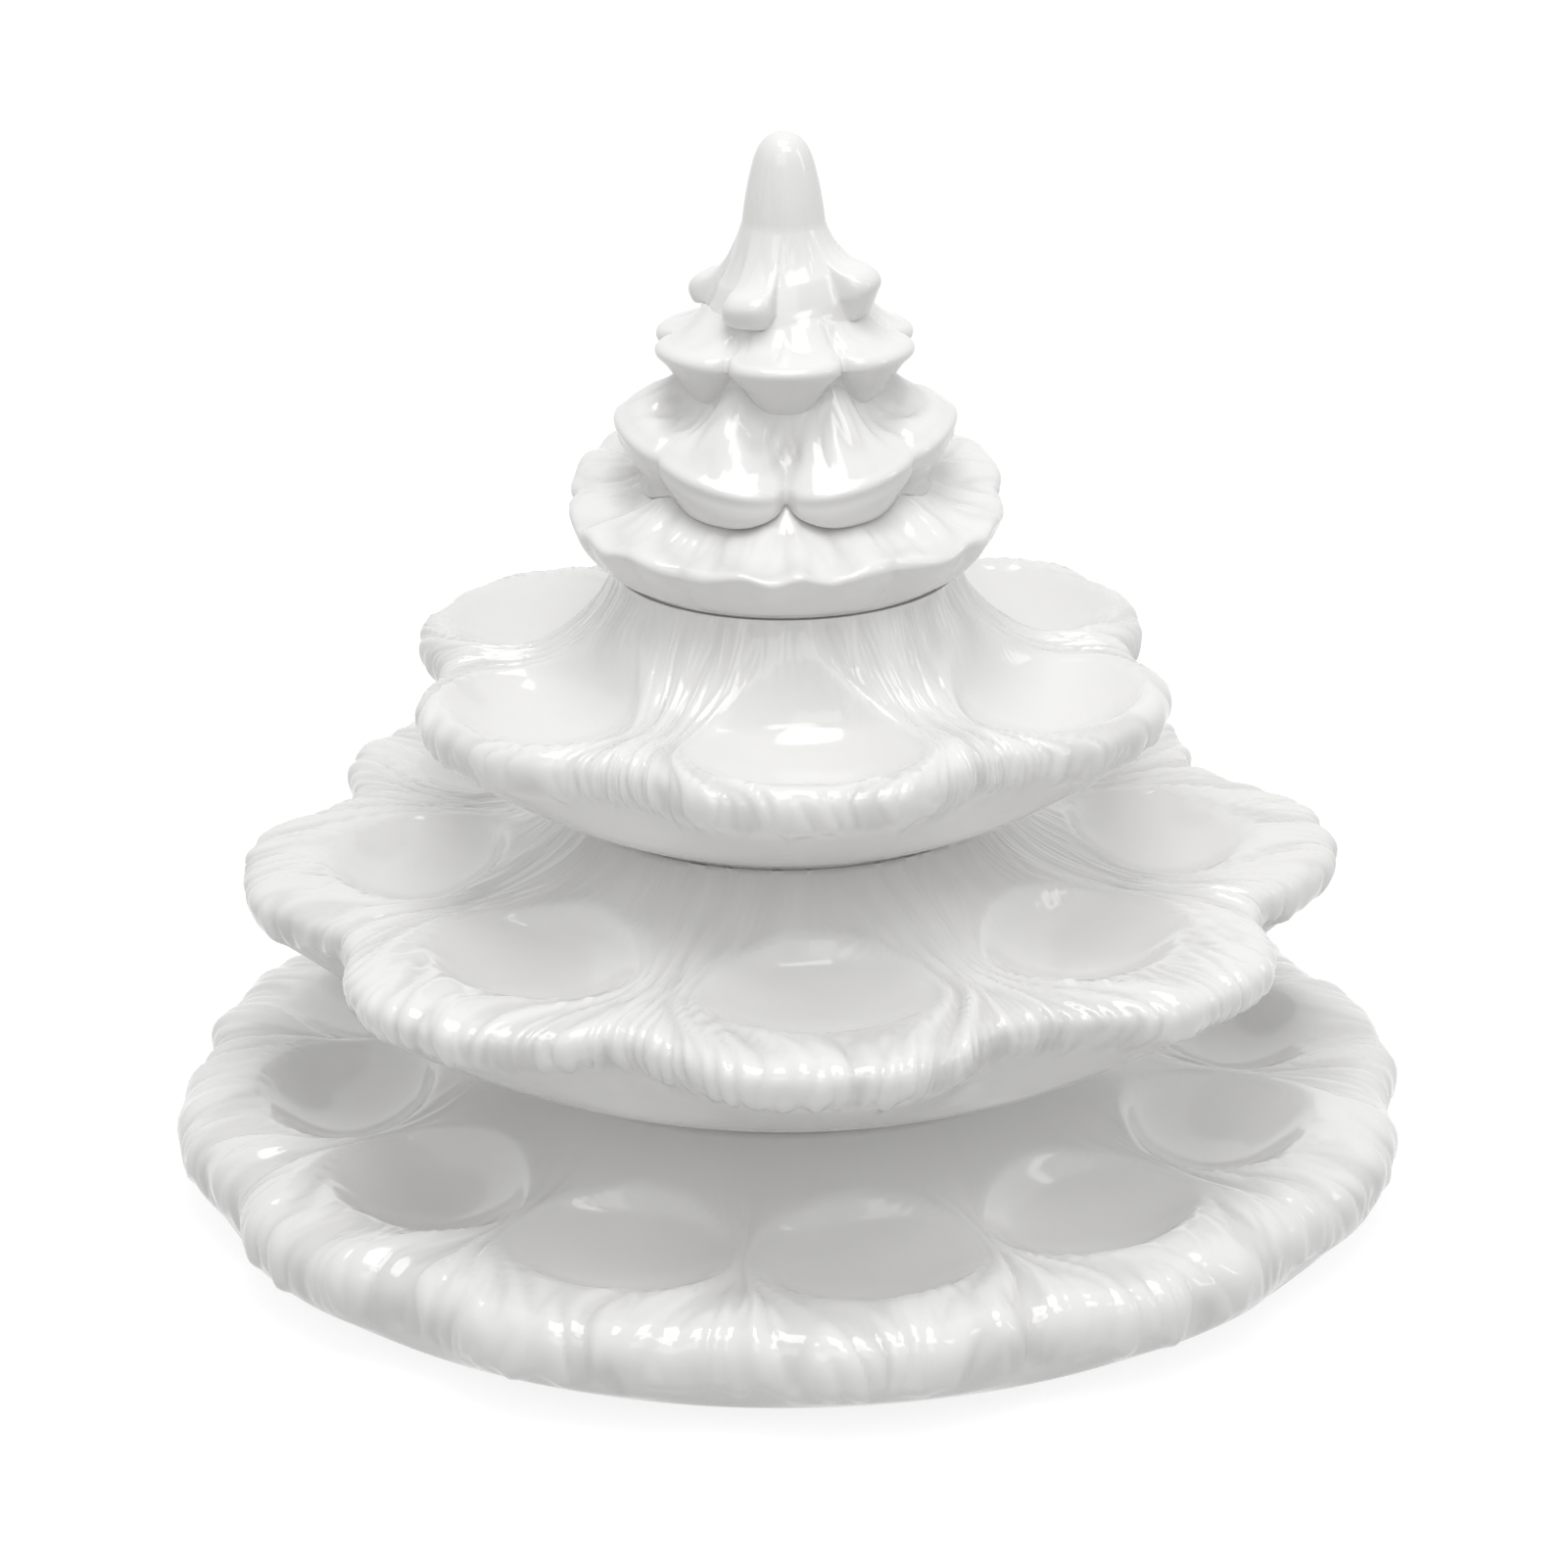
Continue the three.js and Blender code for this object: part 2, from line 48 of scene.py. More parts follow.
# Ceramic walls, foot rings and the spigots on the seats
WALL = 5
FOOT_WALL = 6
FOOT_EDGE = 0.6
SPIGOT_CLEARANCE = 0.8
SPIGOT_HEIGHT = 6
SPIGOT_BEVEL = 1.2
SHARP_ANGLE = 50

# Feet, each as wide as the seat that carries it
MIDDLE_FOOT_RADIUS = 84
UPPER_FOOT_RADIUS = 60
TOPPER_FOOT_RADIUS = 46

# Wells and rim lobes, alike on every tier
WELL_LENGTH = 57
WELL_WIDTH = 43
WELL_DEPTH = 8
WELL_LIP = 4
WELL_ROUNDNESS = 2.5
WELL_WALL_RISE = 160
CREST_RISE = 2
LOBE_BREADTH = 4

# Where a tier's belly gives way to its rim, as a part of the way between their bends
TURN_SHARE = 0.8

# Columns round a piece, and rows along the stretches of its section
TIER_COLUMNS = 1320
BELLY_ROWS = 8
TUCK_ROWS = 9
RIM_ROWS = 10
SWEEP_ROWS = 32
CORE_ROWS = 4
TOPPER_COLUMNS = 560
UNDER_ROWS = 12
LIP_ROWS = 6
FACE_ROWS = 18
BROW_ROW = UNDER_ROWS + LIP_ROWS
BOUGH_ROWS = BROW_ROW + FACE_ROWS
SPIRE_ROWS = 14
DOME_ROWS = 10

# Flutes and the broader folds under them: how far one runs before it changes, and how sharp creases are
FLUTE_RUN = 26
FOLD_RUN = 45
FLUTE_SWAY = 0.05
SWAY_RUN = 30
SWAYS_PER_WELL = 3
CREASE_SHARPNESS = 0.9
MEAN_FLUTE = 0.25

# Where flutes round a well reach their full height, in half sizes of the well
FLUTE_START = 1.25

# How much the fluted rim swells over the smooth belly, and how its flutes end there
RIM_SWELL = 0.6
FLUTE_FADE = 4.5
END_SCATTER = 3.5

# Noise: its length in cells, and what each kind adds to a tier's seed
NOISE_LENGTH = 64
FOLD_SEED = 1
SWAY_SEED = 2
END_SEED = 3

# Least divisors
LEAST_STREAM = 0.01
LEAST_LENGTH = 1e-9

# Tiers, with heights above a tier's own foot
TIERS = {
    "base_tier": {
        "body": "base",
        "height": 46,
        "foot_radius": 145,
        "seat_radius": MIDDLE_FOOT_RADIUS,
        "rim_radius": 169,
        "rim_level": 20,
        "rim_roll": 19,
        # Bends of the underside: where the rim turns up, and the belly's radius and height
        "turn_level": 12.5,
        "belly": (153, 2),
        # Radius where the lobes of the underside die out
        "plain_radius": 160,
        "well_level": 29,
        "well_ring": 124,
        "well_count": 12,
        "lobe_depth": 5,
        # How far outside the seat the mound bends, and how far the tier is turned
        "sweep": 16,
        "turn": 9,
        "flutes_per_well": 12,
        "folds_per_well": 6,
        "flute_height": 1.6,
        "fold_height": 2.0,
        # How much of the flutes is left on the mound, and how low they reach under the rim
        "mound_share": 0.02,
        "flute_end": 11.5,
        "seed": 11,
    },
    "middle_tier": {
        "body": "middle",
        "height": 64,
        "foot_radius": MIDDLE_FOOT_RADIUS,
        "seat_radius": UPPER_FOOT_RADIUS,
        "rim_radius": 148.5,
        "rim_level": 43,
        "rim_roll": 14.5,
        "turn_level": 37.5,
        "belly": (112, 12),
        "plain_radius": 112,
        "well_level": 46.7,
        "well_ring": 102,
        "well_count": 8,
        "lobe_depth": 18,
        "sweep": 17,
        "turn": 4,
        "flutes_per_well": 23,
        "folds_per_well": 10,
        "flute_height": 1.75,
        "fold_height": 1.7,
        "mound_share": 0.14,
        "flute_end": 34,
        "seed": 23,
    },
    "upper_tier": {
        "body": "upper",
        "height": 64,
        "foot_radius": UPPER_FOOT_RADIUS,
        "seat_radius": TOPPER_FOOT_RADIUS,
        "rim_radius": 106,
        "rim_level": 34,
        "rim_roll": 13,
        "turn_level": 28.5,
        "belly": (80, 9),
        "plain_radius": 78,
        "well_level": 38.5,
        "well_ring": 77.5,
        "well_count": 6,
        "lobe_depth": 14,
        "sweep": 9,
        "turn": 3,
        "flutes_per_well": 23,
        "folds_per_well": 10,
        "flute_height": 1.5,
        "fold_height": 1.5,
        "mound_share": 0.35,
        "flute_end": 25.5,
        "seed": 37,
    },
}

# Tree topper: its spire, its folds and finer pleats, and the shape of its boughs and clefts
TOPPER_HEIGHT = 117.5
SPIRE_FOOT = (10.9, 94)
SPIRE_BEND = (10, 103)
SPIRE_TIP = (7.8, 110.4)
TOPPER_FOLDS = 21
TOPPER_FOLD_SEED = 51
TOPPER_PLEATS = 54
TOPPER_PLEAT_SEED = 52
WAIST_FOLD = 0.15
CLEFT_SOFTNESS = 0.02
CLEFT_SHARPNESS = 4
BOUGH_ROUNDNESS = 2.4
DIP_ROUNDNESS = 4
RUFFLES = 16
RUFFLE_SWAY = 1.6
# Painted shade under the boughs: a lowered relief that darkens the glaze tint on their undersides
UNDERSIDE_SHADE = -0.4
BACK_SHARPNESS = 1.5

# Shape of every bough's lip, in lips from its tip, and of the floor of a cleft, as a part of its way
EDGE_INSET = 0.4
LIP_REACH = 0.4
LIP_RISE = 0.2
BROW_INSET = 1.3
BROW_RISE = 0.9
CLEFT_HOLLOW = (0.6, 0.35)

# Rows of boughs from the skirt up, each from its waist to the waist of the next
LOW_BOUGHS = 7
SKIRT = {
    "count": 6,
    "turn": 0,
    # Radius and height of the waist, and how far it hangs down under each bough
    "waist": (TOPPER_FOOT_RADIUS, FOOT_EDGE),
    "waist_dip": 0,
    # Radius and height of a bough's tip, and the depth of the clefts with the share of it at the sides
    "tip": (59.4, 14.5),
    "lip": 1.5,
    "cleft": 3.5,
    "side_cleft": 1,
    # Bends of the underside and of the upper face, as parts of their way
    "bulge": (0.8, 0.44),
    "hollow": (0.51, 0.35),
    # Width of a bough at its waist, tip and top, as shares of the row's pitch
    "widths": (1, 1, 1),
    # How far tips are raised at the right, the back and both sides, and how far sides are drawn in
    "tilt": 0,
    "back_lift": 14,
    "side_lift": 0,
    "side_draw": 0,
    "ruffle": 0.9,
    # Heights at the lip and on the upper face
    "folds": (1.5, 2.2),
    "pleats": (0.3, 0.8),
}
LOW_ROW = {
    "count": LOW_BOUGHS,
    "turn": 180 / LOW_BOUGHS,
    "waist": (37.5, 25.5),
    "waist_dip": 1.5,
    "tip": (45.8, 31.5),
    "lip": 1.9,
    "cleft": 10,
    "side_cleft": 0.18,
    "bulge": (1.33, -1.4),
    "hollow": (0.53, 0.45),
    "widths": (0.9, 1, 0.55),
    "tilt": 0,
    "back_lift": 0,
    "side_lift": 10.5,
    "side_draw": 6,
    "ruffle": 0,
    "folds": (0.2, 2.4),
    "pleats": (0, 0.2),
}
HIGH_ROW = {
    "count": 6,
    "turn": 0,
    "waist": (26, 52.5),
    "waist_dip": 3.5,
    "tip": (36.2, 62.4),
    "lip": 1.8,
    "cleft": 7.5,
    "side_cleft": 1,
    "bulge": (0.32, 0.25),
    "hollow": (0.6, 0.25),
    "widths": (0.8, 1, 0.8),
    "tilt": 0,
    "back_lift": 0,
    "side_lift": 0,
    "side_draw": 0,
    "ruffle": 0,
    "folds": (0, 0.6),
    "pleats": (0, 0),
}
CROWN = {
    "count": 4,
    "turn": -26,
    "waist": (21.8, 71.8),
    "waist_dip": 1.5,
    "tip": (27.5, 77.8),
    "lip": 3.2,
    "cleft": 6,
    "side_cleft": 1,
    "bulge": (0.75, -0.1),
    "hollow": (0.65, 0.05),
    "widths": (0.3, 0.42, 0.5),
    "tilt": 3,
    "back_lift": 0,
    "side_lift": 0,
    "side_draw": 0,
    "ruffle": 0,
    "folds": (0, 0.4),
    "pleats": (0, 0),
}
SPIRE = {"count": 1, "turn": 0, "waist": SPIRE_FOOT, "waist_dip": 0}

# White glaze: its cloudy tints, its darker tone in deep relief, partly pooled glaze and partly painted
# shade, and the fine ripple of its skin
CLOUD_SCALE = 14
CLOUD_DETAIL = 3
GLAZE_TINTS = ((0.35, (0.80, 0.796, 0.785, 1)), (0.65, (0.83, 0.828, 0.82, 1)))
# Darker tint where the relief is deep: partly pooled glaze, partly painted shade in the creases
POOL_AND_SHADE_TINT = (0.62, 0.615, 0.6, 1)
POOL_AND_SHADE_FLOOR = -0.6
POOL_AND_SHADE_EDGE = 0.1
POOL_AND_SHADE_SHARE = 0.5
LEAST_ROUGHNESS = 0.08
MOST_ROUGHNESS = 0.16
GLAZE_IOR = 1.5
COAT_WEIGHT = 0.3
COAT_ROUGHNESS = 0.03
RIPPLE_SCALE = 260
RIPPLE_STRENGTH = 0.06
RIPPLE_DEPTH = 0.0005

# Bare clay of the foot rings, the second of a piece's two materials
CLAY_SLOT = 1
CLAY_TINTS = ((0, (0.62, 0.58, 0.52, 1)), (1, (0.74, 0.71, 0.66, 1)))
CLAY_ROUGHNESS = 0.85
GRAIN_SCALE = 900
GRAIN_STRENGTH = 0.3
GRAIN_DEPTH = 0.0003

# Floor and surrounding light
AMBIENT = 0.59
FLOOR_SIDE = 8
FLOOR_DROP = 0.0002
FLOOR_GREY = 0.55
FLOOR_ROUGHNESS = 0.9
FLOOR_SHADE = 0.25

# Lamps and camera: places and sizes in metres, power in watts, lens and sensor in millimetres
SOFTBOXES = {
    "key": {"place": (0.25, -0.8, 1.5), "aim": (0, 0, 0.15), "size": (0.8, 0.4), "power": 3.3},
    "front": {"place": (-0.15, -1.2, 1.05), "aim": (0, 0, 0.12), "size": (0.9, 0.6), "power": 1.8},
    "top": {"place": (-0.05, -0.25, 1.6), "aim": (0, 0, 0.1), "size": (0.75, 0.75), "power": 7.6},
    "side": {"place": (1.3, -0.3, 0.9), "aim": (0, 0, 0.15), "size": (0.2, 0.8), "power": 1.2},
}
CAMERA_PLACE = (-0.0008, -1.2177, 0.5853)
CAMERA_AIM = (-0.0012, 0, 0.1114)
CAMERA_ROLL = -0.5
CAMERA_LENS = 110.2
CAMERA_SENSOR = 36


def smooth(value, low, high):
    """A soft step from 0 at the low end to 1 at the high end."""
    share = np.clip((value - low) / (high - low), 0, 1)
    return share * share * (3 - 2 * share)


def hump(share):
    """0 at both ends and 1 half way."""
    return 4 * share * (1 - share)


def soft_lower(first, second, softness):
    """The lower of two heights, with a soft change from one to the other."""
    blend = np.maximum(softness - np.abs(first - second), 0) / softness
    return np.minimum(first, second) - blend * blend * softness / 4


def bend(start, control, end, rows):
    """Places along a quadratic curve, with its end but not its start."""
    share = np.linspace(0, 1, rows + 1)[1:, None]
    start, control, end = (np.array(place, float) for place in (start, control, end))
    return (1 - share) ** 2 * start + 2 * share * (1 - share) * control + share**2 * end


def line(start, end, rows):
    """Places along a straight line, with its end but not its start."""
    return bend(start, np.add(start, end) / 2, end, rows)


def part_way(start, end, shares):
    """A place part of the way to another, with its own share of the radius and of the height."""
    return np.array(start) + (np.array(end) - np.array(start)) * np.array(shares)


def noise_blend(part):
    """How much of the next cell gradient noise takes part of the way through a cell."""
    return part**3 * (part * (6 * part - 15) + 10)


def streak_noise(across, along, period, seed):
    """Gradient noise from -1 to 1 that repeats across after a whole number of cells."""
    angles = np.random.default_rng(seed).uniform(0, 2 * math.pi, (period, NOISE_LENGTH))
    cell_across = np.floor(across).astype(int)
    cell_along = np.floor(along).astype(int)
    part_across = across - cell_across
    part_along = along - cell_along

    def corner(step_across, step_along):
        angle = angles[(cell_across + step_across) % period, (cell_along + step_along) % NOISE_LENGTH]
        return np.cos(angle) * (part_across - step_across) + np.sin(angle) * (part_along - step_along)

    blend_across = noise_blend(part_across)
    blend_along = noise_blend(part_along)
    near = corner(0, 0) * (1 - blend_across) + corner(1, 0) * blend_across
    far = corner(0, 1) * (1 - blend_across) + corner(1, 1) * blend_across
    return math.sqrt(2) * (near * (1 - blend_along) + far * blend_along)


def ripples(lane, path, lanes, seed):
    """Rounded flutes with creases between them, across as many lanes as a whole round has."""
    flutes = np.abs(streak_noise(lane, path / FLUTE_RUN, lanes, seed)) ** CREASE_SHARPNESS
    return flutes - MEAN_FLUTE


def even_turns(columns):
    return np.arange(columns) * 2 * math.pi / columns


def plain_rings(places, columns):
    """Radius and height of round rings, a row for each place."""
    places = np.array(places, float)
    radius = np.repeat(places[:, :1], columns, axis=1)
    height = np.repeat(places[:, 1:], columns, axis=1)
    return radius, height


def ring_points(radius, height, turns):
    """Points of rings. A turn of 0 is at the front."""
    return np.stack((radius * np.sin(turns), -radius * np.cos(turns), height), axis=-1)


def round_points(places, turns):
    return ring_points(*plain_rings(places, len(turns)), turns)


def ring_normals(points):
    round_step = np.roll(points, -1, axis=1) - np.roll(points, 1, axis=1)
    up_step = np.gradient(points, axis=0)
    normals = np.cross(round_step, up_step)
    return normals / np.maximum(np.linalg.norm(normals, axis=-1, keepdims=True), LEAST_LENGTH)


def path_length(points):
    """How far each point is from the first ring, along its own column."""
    steps = np.linalg.norm(np.diff(points, axis=0), axis=-1)
    return np.concatenate((np.zeros((1, points.shape[1])), np.cumsum(steps, axis=0)))


def ring_faces(rows, columns):
    """Quads between rings, and fans that close the first and the last ring at two more points."""
    corner = np.arange(rows * columns).reshape(rows, columns)
    following = np.roll(corner, -1, axis=1)
    quads = np.stack((corner[:-1], following[:-1], following[1:], corner[1:]), axis=-1).reshape(-1, 4)
    first_pole = np.full(columns, rows * columns)
    first_fan = np.stack((first_pole, following[0], corner[0]), axis=-1)
    last_fan = np.stack((first_pole + 1, corner[-1], following[-1]), axis=-1)
    return [*quads.tolist(), *first_fan.tolist(), *last_fan.tolist()]


def glazed_piece(name, body, hollow, outside, relief, poles, materials):
    """A closed ceramic piece of rings from the top of its hollow, round its foot and up its outside."""
    points = np.concatenate((hollow, outside))
    rows, columns = points.shape[:2]
    vertices = np.concatenate((points.reshape(-1, 3), [(0, 0, level) for level in poles])) * MM
    vertices[:, 2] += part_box(name)[0].z
    ceramic_name = name + "_ceramic"
    mesh = bpy.data.meshes.new(ceramic_name)
    mesh.from_pydata(vertices, [], ring_faces(rows, columns))
    mesh.polygons.foreach_set("use_smooth", np.ones(len(mesh.polygons), bool))
    mesh.set_sharp_from_angle(angle=math.radians(SHARP_ANGLE))

    # Relief of the outside; the glaze tint is darkened in its floor, partly as pooled glaze and partly as
    # painted shade
    depth = np.zeros(len(vertices), np.float32)
    start = len(hollow) * columns
    depth[start:start + relief.size] = relief.ravel()
    mesh.attributes.new("relief", "FLOAT", "POINT").data.foreach_set("value", depth)
    for material in materials:
        mesh.materials.append(material)
    slots = np.zeros(len(mesh.polygons), np.int32)
    foot_row = len(hollow) - 1
    slots[foot_row * columns:(foot_row + 1) * columns] = CLAY_SLOT
    mesh.polygons.foreach_set("material_index", slots)

    piece = bpy.data.objects.new(ceramic_name, mesh)
    bpy.context.scene.collection.objects.link(piece)
    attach(piece, body)
    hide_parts(name)


def spigot_radius(tier):
    return tier["seat_radius"] - FOOT_WALL - SPIGOT_CLEARANCE


def rim_crest(tier):
    return tier["rim_radius"] - tier["rim_roll"], tier["well_level"] + CREST_RISE


def tier_hollow(tier):
    """Places down the inside of a tier, from under its spigot to its foot."""
    shoulder = (spigot_radius(tier) - WALL, tier["height"] - WALL)
    foot_inside = tier["foot_radius"] - FOOT_WALL
    mound_inside = tier["well_ring"] - WELL_WIDTH / 2 - WALL
    ceiling = tier["well_level"] - WELL_DEPTH - WALL
    mound_bend = (tier["seat_radius"] + tier["sweep"] - WALL, ceiling)
    return [
        (shoulder[0], shoulder[1] + SPIGOT_HEIGHT),
        shoulder,
        *bend(shoulder, mound_bend, (mound_inside, ceiling), CORE_ROWS),
        (foot_inside, ceiling),
        (foot_inside, FOOT_EDGE),
        (foot_inside + FOOT_EDGE, 0),
    ]


def tier_underside(tier):
    """Places from a tier's foot out to the widest ring of its rim."""
    foot = (tier["foot_radius"], FOOT_EDGE)
    rim = (tier["rim_radius"], tier["rim_level"])
    rim_turn = (tier["rim_radius"], tier["turn_level"])
    joint = part_way(tier["belly"], rim_turn, (TURN_SHARE, TURN_SHARE))
    return [
        (tier["foot_radius"] - FOOT_EDGE, 0),
        foot,
        *bend(foot, tier["belly"], joint, BELLY_ROWS),
        *bend(joint, rim_turn, rim, TUCK_ROWS),
    ]


def tier_topside(tier):
    """Places from a tier's rim over its crest and up its mound to its seat."""
    rim = (tier["rim_radius"], tier["rim_level"])
    crest = rim_crest(tier)
    seat = (tier["seat_radius"], tier["height"])
    mound_bend = (tier["seat_radius"] + tier["sweep"], tier["well_level"] - CREST_RISE)
    return [
        *bend(rim, (tier["rim_radius"], crest[1]), crest, RIM_ROWS),
        *bend(crest, mound_bend, seat, SWEEP_ROWS),
    ]


def tier_spigot(tier):
    radius = spigot_radius(tier)
    top = tier["height"] + SPIGOT_HEIGHT
    return [(radius, tier["height"]), (radius, top - SPIGOT_BEVEL), (radius - SPIGOT_BEVEL, top)]


def lobed_radius(radius, turns, tier, plain_radius):
    """Radius drawn in between two lobes. The lobes die out towards the plain radius."""
    reach = smooth(radius, plain_radius, tier["rim_radius"])
    notch = np.abs(np.sin(tier["well_count"] * turns / 2)) ** LOBE_BREADTH
    return radius - tier["lobe_depth"] * reach * notch


def well_offsets(radius, off_turn, tier):
    """Distances along and across a well from its middle, as shares of its half sizes."""
    along = radius * np.sin(off_turn) / (WELL_LENGTH / 2)
    across = (radius * np.cos(off_turn) - tier["well_ring"]) / (WELL_WIDTH / 2)
    return along, across


def well_distance(radius, turns, tier):
    """Distance from the middle of the nearest well: 1 at its edge."""
    pitch = 2 * math.pi / tier["well_count"]
    off_turn = turns - pitch * np.round(turns / pitch)
    return np.hypot(*well_offsets(radius, off_turn, tier))


def dished(height, distance, tier):
    """Heights of a tier's topside with its wells scooped out."""
    bowl = tier["well_level"] - WELL_DEPTH * (1 - distance**WELL_ROUNDNESS)
    bowl += WELL_WALL_RISE * np.maximum(distance - 1, 0) ** 2
    return soft_lower(height, bowl, WELL_LIP)


def stream(along, across):
    """The stream past a well, as past a stone: none at the well's edge, and even far from it."""
    distance = np.maximum(along**2 + across**2, 1)
    return along * (1 - 1 / distance)


def flute_lane(radius, turns, tier):
    """Where a place lies across the flutes, counted in wells. Flutes part round each well."""
    pitch = 2 * math.pi / tier["well_count"]
    number = np.round(turns / pitch)
    passed = stream(*well_offsets(radius, turns - pitch * number, tier))
    whole = stream(*well_offsets(radius, pitch / 2, tier))
    return number + np.clip(passed / np.maximum(whole, LEAST_STREAM), -1, 1) / 2


def flute_strength(radius, under_height, distance, lane, tier):
    """How strong flutes are: full at the rim, and none in wells, at the seat or down the belly."""
    outward = smooth(radius, tier["seat_radius"] + tier["sweep"] / 2, rim_crest(tier)[0])
    strength = tier["mound_share"] + (1 - tier["mound_share"]) * outward
    rim_row = len(under_height)
    under_lane = lane[:rim_row] * tier["flutes_per_well"]
    lanes = tier["well_count"] * tier["flutes_per_well"]
    scatter = streak_noise(under_lane, np.zeros_like(under_lane), lanes, tier["seed"] + END_SEED)
    over_end = under_height - tier["flute_end"] - END_SCATTER * scatter
    strength[:rim_row] *= smooth(over_end, 0, FLUTE_FADE)
    strength[rim_row + 1:] *= smooth(distance, 1, FLUTE_START)
    strength[-1] = 0
    return strength


def tier_relief(lane, path, strength, tier):
    """Flutes and the broader folds under them, which sway together."""
    wells = tier["well_count"]
    flutes_per_well = tier["flutes_per_well"]
    folds_per_well = tier["folds_per_well"]
    seed = tier["seed"]
    sway = streak_noise(lane * SWAYS_PER_WELL, path / SWAY_RUN, wells * SWAYS_PER_WELL, seed + SWAY_SEED)
    lane = lane + FLUTE_SWAY * sway
    flutes = ripples(lane * flutes_per_well, path, wells * flutes_per_well, seed)
    folds = streak_noise(lane * folds_per_well, path / FOLD_RUN, wells * folds_per_well, seed + FOLD_SEED)
    return strength * (tier["flute_height"] * flutes + tier["fold_height"] * folds)


def make_tier(name, tier, materials):
    turns = even_turns(TIER_COLUMNS)
    seen_turns = turns + math.radians(tier["turn"])
    under_radius, under_height = plain_rings(tier_underside(tier), TIER_COLUMNS)
    under_radius = lobed_radius(under_radius, turns, tier, tier["plain_radius"])
    top_radius, top_height = plain_rings(tier_topside(tier), TIER_COLUMNS)
    top_radius = lobed_radius(top_radius, turns, tier, tier["seat_radius"])
    distance = well_distance(top_radius, turns, tier)
    radius = np.concatenate((under_radius, top_radius))
    height = np.concatenate((under_height, dished(top_height, distance, tier)))
    outer = ring_points(radius, height, seen_turns)

    rim_row = len(under_radius) - 1
    flow_radius = radius.copy()
    flow_radius[:rim_row] = radius[rim_row]
    lane = flute_lane(flow_radius, turns, tier)
    strength = flute_strength(flow_radius, under_height[:rim_row], distance, lane, tier)
    relief = tier_relief(lane, path_length(outer), strength, tier)
    near_rim = smooth(np.arange(len(radius)), rim_row + RIM_ROWS, rim_row)[:, None]
    outer += (relief + RIM_SWELL * near_rim * strength)[..., None] * ring_normals(outer)

    hollow = round_points(tier_hollow(tier), seen_turns)
    outside = np.concatenate((outer, round_points(tier_spigot(tier), seen_turns)))
    top = tier["height"] + SPIGOT_HEIGHT
    glazed_piece(name, tier["body"], hollow, outside, relief, (top - WALL, top), materials)


def bough_fullness(turns, row, width):
    """How full a row of boughs is: 1 in the middle of a bough, and least in the front and back clefts."""
    pitch = 2 * math.pi / row["count"]
    own_turns = turns - math.radians(row["turn"])
    share = np.abs(own_turns - pitch * np.round(own_turns / pitch)) / (pitch / 2) / width
    bough = np.clip(1 - share**BOUGH_ROUNDNESS, 0, 1) ** (1 / BOUGH_ROUNDNESS)
    depth = row["side_cleft"] + (1 - row["side_cleft"]) * np.cos(turns) ** CLEFT_SHARPNESS
    return 1 - depth * (1 - bough)


def waist_dip(turns, row):
    """How much lower the waist under a row is: it hangs down under each bough."""
    own_turns = turns - math.radians(row["turn"])
    return row["waist_dip"] * (1 - 2 * np.abs(np.sin(row["count"] * own_turns / 2)) ** DIP_ROUNDNESS)


def tip_lift(turns, row):
    """How much higher a row's tips are towards one side, both sides or the back, and how they ruffle."""
    backward = ((1 - np.cos(turns)) / 2) ** BACK_SHARPNESS
    sideward = np.sin(turns) ** 2
    ruffled = np.sin(RUFFLES * turns + RUFFLE_SWAY * np.sin(row["count"] * turns))
    lift = row["tilt"] * np.sin(turns) + row["back_lift"] * backward + row["side_lift"] * sideward
    return lift + row["ruffle"] * ruffled


def softened(values):
    """Values round a ring with the narrowest creases filled in, as glaze does."""
    columns = values.shape[1]
    waves = np.fft.rfftfreq(columns, 1 / columns)
    kept = np.exp(-((waves * CLEFT_SOFTNESS) ** 2) / 2)
    return np.fft.irfft(np.fft.rfft(values, axis=1) * kept, columns, axis=1)


def bough_profiles(row, end):
    """Places up the middle of a bough and up the floor of a cleft: underside, lip and upper face."""
    waist = row["waist"]
    tip = np.array(row["tip"], float)
    edge = tip + row["lip"] * np.array((-EDGE_INSET, -1))
    reach = tip + row["lip"] * np.array((LIP_REACH, LIP_RISE))
    brow = tip + row["lip"] * np.array((-BROW_INSET, BROW_RISE))
    cleft_edge = edge - (row["cleft"], 0)
    cleft_brow = brow - (row["cleft"], 0)
    full = np.concatenate((
        bend(waist, part_way(waist, edge, row["bulge"]), edge, UNDER_ROWS),
        bend(edge, reach, brow, LIP_ROWS),
        bend(brow, part_way(brow, end, row["hollow"]), end, FACE_ROWS),
    ))
    cleft = np.concatenate((
        line(waist, cleft_edge, UNDER_ROWS),
        line(cleft_edge, cleft_brow, LIP_ROWS),
        bend(cleft_brow, part_way(cleft_brow, end, CLEFT_HOLLOW), end, FACE_ROWS),
    ))
    return full, cleft


def bough_rings(row, above, turns):
    """Radius and height of a row of boughs, up to the waist of the row above."""
    full, cleft = bough_profiles(row, above["waist"])
    rows = np.arange(1, BOUGH_ROWS + 1)
    at_waist, at_tip, at_top = row["widths"]
    width = np.interp(rows, (0, UNDER_ROWS, BROW_ROW, BOUGH_ROWS), (at_waist, at_tip, at_tip, at_top))
    fullness = bough_fullness(turns, row, width[:, None])
    radius = cleft[:, :1] + (full - cleft)[:, :1] * fullness
    height = cleft[:, 1:] + (full - cleft)[:, 1:] * fullness
    own_hang = 1 - smooth(rows, 0, UNDER_ROWS)[:, None]
    above_hang = smooth(rows, BROW_ROW, BOUGH_ROWS)[:, None]
    radius = radius - row["side_draw"] * hump(own_hang) * np.sin(turns) ** 2
    height = height - own_hang * waist_dip(turns, row) - above_hang * waist_dip(turns, above)
    height = height + (1 - own_hang - above_hang) * tip_lift(turns, row)
    return softened(radius), softened(height)


